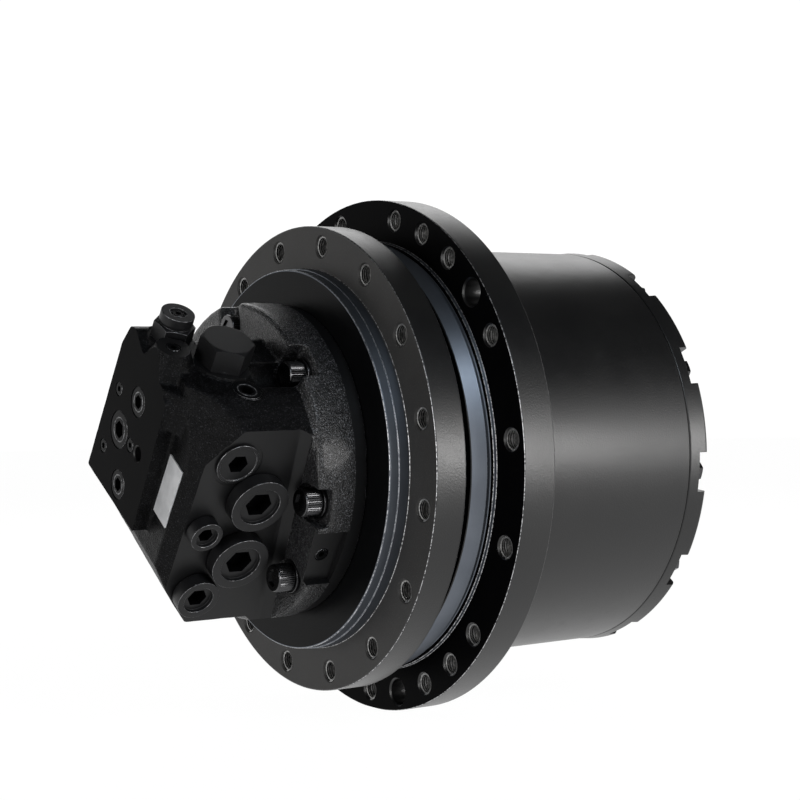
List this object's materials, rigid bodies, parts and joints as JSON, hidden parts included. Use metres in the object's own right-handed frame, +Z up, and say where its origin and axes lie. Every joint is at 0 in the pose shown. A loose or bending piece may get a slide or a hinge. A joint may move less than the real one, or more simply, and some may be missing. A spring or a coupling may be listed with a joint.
{
  "type": "excavator final drive",
  "caption": "Track final drive: axial piston travel motor with a cast port block, two-stage planetary gearbox and a rotating drum with a sprocket flange.",
  "frame": {"origin": "centre of the spindle's mounting face, on the drive axis, where the unit bolts to the track frame", "axes": "+X along the drive axis from the motor to the cover, +Z up, -Y towards the side that the ports face"},
  "size_m": [0.4386, 0.41, 0.4078],
  "materials": {
    "frame_flange_paint": "satin graphite paint over machined cast iron",
    "drum_paint": "satin black paint with a fine orange peel",
    "rough_cast_paint": "glossy black paint on rough sand-cast iron",
    "fastener": "glossy black",
    "plug": "smooth dark grey",
    "steel": "ground",
    "gear_steel": "ground and oiled",
    "bronze": "machined",
    "friction": "sintered lining",
    "rubber": "matt",
    "label": "bare printed foil left blank"
  },
  "bodies": {
    "frame_side": {"spindle": "frame_flange_paint", "port_block": "rough_cast_paint", "port_block_screw_1": "fastener", "port_block_screw_2": "fastener", "port_block_screw_3": "fastener", "port_block_screw_4": "fastener", "port_block_screw_5": "fastener", "port_block_screw_6": "fastener", "port_block_screw_7": "fastener", "main_port_plug_upper": "plug", "main_port_plug_lower": "plug", "drain_plug_upper": "plug", "drain_plug_lower": "plug", "pilot_plug": "plug", "spool_cap": "fastener", "relief_valve": "fastener", "label_plate": "label", "valve_plate": "bronze", "swash_plate": "steel", "shaft_bearing_rear": "steel", "shaft_bearing_front": "steel", "shaft_seal": "rubber", "port_block_seal": "rubber", "separator_plate_1": "steel", "separator_plate_2": "steel", "brake_spring": "steel", "spool_spring_upper": "steel", "spool_spring_lower": "steel", "seal_ring_fixed": "steel", "seal_rubber_fixed": "rubber", "bearing_cone_rear": "steel", "bearing_cone_front": "steel", "bearing_spacer": "steel", "output_carrier": "steel"},
    "drum": {"hub": "drum_paint", "cover": "drum_paint", "bearing_cup_rear": "steel", "bearing_cup_front": "steel", "seal_ring_hub": "steel", "seal_rubber_hub": "rubber", "thrust_button": "bronze"},
    "rollers_rear": {"bearing_rollers_rear": "steel"},
    "rollers_front": {"bearing_rollers_front": "steel"},
    "output_planet_1": {"output_planet_1": "gear_steel"},
    "output_planet_2": {"output_planet_2": "gear_steel"},
    "output_planet_3": {"output_planet_3": "gear_steel"},
    "output_planet_4": {"output_planet_4": "gear_steel"},
    "output_sun_group": {"output_sun": "gear_steel", "input_carrier": "steel"},
    "input_planet_1": {"input_planet_1": "gear_steel"},
    "input_planet_2": {"input_planet_2": "gear_steel"},
    "input_planet_3": {"input_planet_3": "gear_steel"},
    "rotary_group": {"drive_shaft": "steel", "input_sun": "gear_steel", "cylinder_block": "steel", "piston_set": "steel", "friction_plate_1": "friction", "friction_plate_2": "friction"},
    "brake_piston": {"brake_piston": "steel"},
    "spool": {"counterbalance_spool": "steel"}
  },
  "joints": [
    {"name": "drum_spin", "type": "hinge", "parent": "frame_side", "child": "drum", "pos_m": [0.05, 0, 0], "axis": [1, 0, 0], "continuous": true},
    {"name": "rollers_rear_spin", "type": "hinge", "parent": "frame_side", "child": "rollers_rear", "pos_m": [0.07, 0, 0], "axis": [1, 0, 0], "continuous": true},
    {"name": "rollers_front_spin", "type": "hinge", "parent": "frame_side", "child": "rollers_front", "pos_m": [0.11, 0, 0], "axis": [1, 0, 0], "continuous": true},
    {"name": "output_planet_1_spin", "type": "hinge", "parent": "frame_side", "child": "output_planet_1", "pos_m": [0.175, 0.09, 0], "axis": [1, 0, 0], "continuous": true},
    {"name": "output_planet_2_spin", "type": "hinge", "parent": "frame_side", "child": "output_planet_2", "pos_m": [0.175, 0, 0.09], "axis": [1, 0, 0], "continuous": true},
    {"name": "output_planet_3_spin", "type": "hinge", "parent": "frame_side", "child": "output_planet_3", "pos_m": [0.175, -0.09, 0], "axis": [1, 0, 0], "continuous": true},
    {"name": "output_planet_4_spin", "type": "hinge", "parent": "frame_side", "child": "output_planet_4", "pos_m": [0.175, 0, -0.09], "axis": [1, 0, 0], "continuous": true},
    {"name": "output_sun_spin", "type": "hinge", "parent": "frame_side", "child": "output_sun_group", "pos_m": [0.19, 0, 0], "axis": [1, 0, 0], "continuous": true},
    {"name": "input_planet_1_spin", "type": "hinge", "parent": "output_sun_group", "child": "input_planet_1", "pos_m": [0.226, 0.0825, 0], "axis": [1, 0, 0], "continuous": true},
    {"name": "input_planet_2_spin", "type": "hinge", "parent": "output_sun_group", "child": "input_planet_2", "pos_m": [0.226, -0.04125, 0.07145], "axis": [1, 0, 0], "continuous": true},
    {"name": "input_planet_3_spin", "type": "hinge", "parent": "output_sun_group", "child": "input_planet_3", "pos_m": [0.226, -0.04125, -0.07145], "axis": [1, 0, 0], "continuous": true},
    {"name": "rotor_spin", "type": "hinge", "parent": "frame_side", "child": "rotary_group", "pos_m": [0.03, 0, 0], "axis": [1, 0, 0], "continuous": true},
    {"name": "brake_piston_slide", "type": "slide", "parent": "frame_side", "child": "brake_piston", "axis": [-1, 0, 0], "range_m": [0, 0.002], "stiffness_N_per_m": 20000},
    {"name": "spool_slide", "type": "slide", "parent": "frame_side", "child": "spool", "axis": [0, -0.5807, 0.8141], "range_m": [-0.0025, 0.0025], "stiffness_N_per_m": 4000}
  ],
  "couplings": [
    {"joint": "rollers_rear_spin", "follows": "drum_spin", "ratio": 0.52974},
    {"joint": "rollers_front_spin", "follows": "drum_spin", "ratio": 0.52974},
    {"joint": "output_planet_1_spin", "follows": "drum_spin", "ratio": 2.8947},
    {"joint": "output_planet_2_spin", "follows": "drum_spin", "ratio": 2.8947},
    {"joint": "output_planet_3_spin", "follows": "drum_spin", "ratio": 2.8947},
    {"joint": "output_planet_4_spin", "follows": "drum_spin", "ratio": 2.8947},
    {"joint": "output_sun_spin", "follows": "drum_spin", "ratio": -3.2353},
    {"joint": "input_planet_1_spin", "follows": "drum_spin", "ratio": 10.588},
    {"joint": "input_planet_2_spin", "follows": "drum_spin", "ratio": 10.588},
    {"joint": "input_planet_3_spin", "follows": "drum_spin", "ratio": 10.588},
    {"joint": "rotor_spin", "follows": "drum_spin", "ratio": -24.412}
  ]
}
